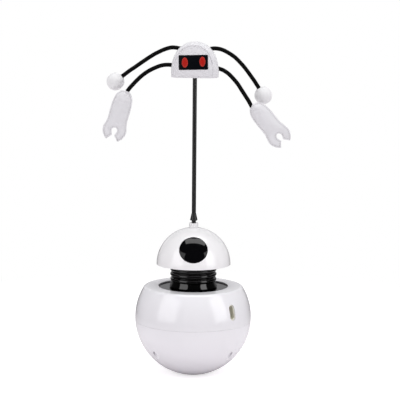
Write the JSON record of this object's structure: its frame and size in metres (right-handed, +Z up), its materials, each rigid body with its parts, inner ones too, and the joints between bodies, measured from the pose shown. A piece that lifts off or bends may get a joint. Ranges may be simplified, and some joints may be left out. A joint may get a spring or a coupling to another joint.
{
  "type": "wobbling cat ball with teaser wand",
  "caption": "Weighted wobble ball cat toy with a sprung dome head, a push-button eye and a plug-in wand that holds up a stuffed robot toy on springy cords",
  "frame": {"origin": "middle of the flat foot under the ball", "axes": "+Z up along the wand, the eye faces -Y, +X to the right of a viewer who faces the eye"},
  "size_m": [0.1369, 0.086, 0.2457],
  "materials": {
    "white_shell": "glossy moulded shell, very slightly cool white",
    "black_gloss": "glossy black moulding",
    "black_rubber": "smooth silicone with a soft sheen",
    "black_matte": "matte rod and ferrule",
    "black_cord": "matte springy cord",
    "white_felt": "short-pile felt, stuffed",
    "black_felt": "smooth dark patch",
    "red_felt": "red patch",
    "port_plastic": "dull olive grey frame",
    "grey_plastic": "moulded",
    "natural_plastic": "natural acetal",
    "steel": "plain steel",
    "iron": "cast weight",
    "board": "green circuit board",
    "cell_wrap": "plain shrink wrap"
  },
  "bodies": {
    "ball": {"lower_shell": "white_shell", "upper_shell": "white_shell", "shell_screws": "steel", "deck_plate": "black_gloss", "deck_screws": "steel", "ballast": "iron", "chassis": "grey_plastic", "chassis_screws": "steel", "rotor_pin": "steel", "thrust_washer": "natural_plastic", "motor_can": "steel", "motor_end_cap": "grey_plastic", "battery_cell": "cell_wrap", "battery_clip": "steel", "main_board": "board", "board_parts": "grey_plastic", "board_screws": "steel", "charge_board": "board", "charge_port": "steel", "port_bezel": "port_plastic"},
    "rotor": {"drive_gear": "natural_plastic", "eccentric_weight": "iron"},
    "pinion": {"motor_pinion": "natural_plastic", "motor_shaft": "steel"},
    "neck": {"neck_bellows": "black_rubber", "neck_spring": "steel"},
    "head": {"dome_shell": "white_shell", "dome_base": "white_shell", "dome_screws": "steel", "switch_body": "grey_plastic", "switch_board": "board", "switch_screws": "steel", "wand_socket": "white_shell"},
    "eye": {"eye_button": "black_gloss", "switch_plunger": "grey_plastic"},
    "wand": {"wand_ferrule": "black_matte", "wand_rod": "black_matte", "toy_head": "white_felt", "toy_visor": "black_felt", "toy_eyes": "red_felt"},
    "arm_upper_left": {"cord_upper_left": "black_cord", "felt_ball_left": "white_felt"},
    "arm_upper_right": {"cord_upper_right": "black_cord", "felt_ball_right": "white_felt"},
    "arm_lower_left": {"cord_lower_left": "black_cord", "claw_left": "white_felt"},
    "arm_lower_right": {"cord_lower_right": "black_cord", "claw_right": "white_felt"}
  },
  "joints": [
    {"name": "rotor_spin", "type": "hinge", "parent": "ball", "child": "rotor", "pos_m": [0, 0, 0.0257], "axis": [0, 0, 1], "continuous": true},
    {"name": "pinion_spin", "type": "hinge", "parent": "ball", "child": "pinion", "pos_m": [0, 0.018, 0.0257], "axis": [0, 0, 1], "continuous": true},
    {"name": "neck_pitch", "type": "hinge", "parent": "ball", "child": "neck", "pos_m": [0, 0, 0.0739], "axis": [1, 0, 0], "range_deg": [-12, 12], "stiffness_Nm_per_rad": 0.4, "deforming": ["neck_bellows", "neck_spring"]},
    {"name": "neck_roll", "type": "hinge", "parent": "neck", "child": "head", "pos_m": [0, 0, 0.0739], "axis": [0, 1, 0], "range_deg": [-12, 12], "stiffness_Nm_per_rad": 0.4, "deforming": ["neck_bellows", "neck_spring"]},
    {"name": "eye_press", "type": "slide", "parent": "head", "child": "eye", "axis": [0, 0.8387, -0.5446], "range_m": [0, 0.0008], "stiffness_N_per_m": 600},
    {"name": "wand_pull", "type": "slide", "parent": "head", "child": "wand", "axis": [0, 0, 1], "range_m": [0, 0.012]},
    {"name": "arm_upper_left_bob", "type": "hinge", "parent": "wand", "child": "arm_upper_left", "pos_m": [-0.011, 0, 0.24004], "axis": [0, 1, 0], "range_deg": [-20, 20], "stiffness_Nm_per_rad": 0.05, "deforming": ["cord_upper_left"]},
    {"name": "arm_upper_right_bob", "type": "hinge", "parent": "wand", "child": "arm_upper_right", "pos_m": [0.011, 0, 0.24014], "axis": [0, 1, 0], "range_deg": [-20, 20], "stiffness_Nm_per_rad": 0.05, "deforming": ["cord_upper_right"]},
    {"name": "arm_lower_left_bob", "type": "hinge", "parent": "wand", "child": "arm_lower_left", "pos_m": [-0.016, 0, 0.22814], "axis": [0, 1, 0], "range_deg": [-20, 20], "stiffness_Nm_per_rad": 0.05, "deforming": ["cord_lower_left"]},
    {"name": "arm_lower_right_bob", "type": "hinge", "parent": "wand", "child": "arm_lower_right", "pos_m": [0.0153, 0, 0.22664], "axis": [0, 1, 0], "range_deg": [-20, 20], "stiffness_Nm_per_rad": 0.05, "deforming": ["cord_lower_right"]}
  ],
  "couplings": [
    {"joint": "pinion_spin", "follows": "rotor_spin", "ratio": -3}
  ]
}
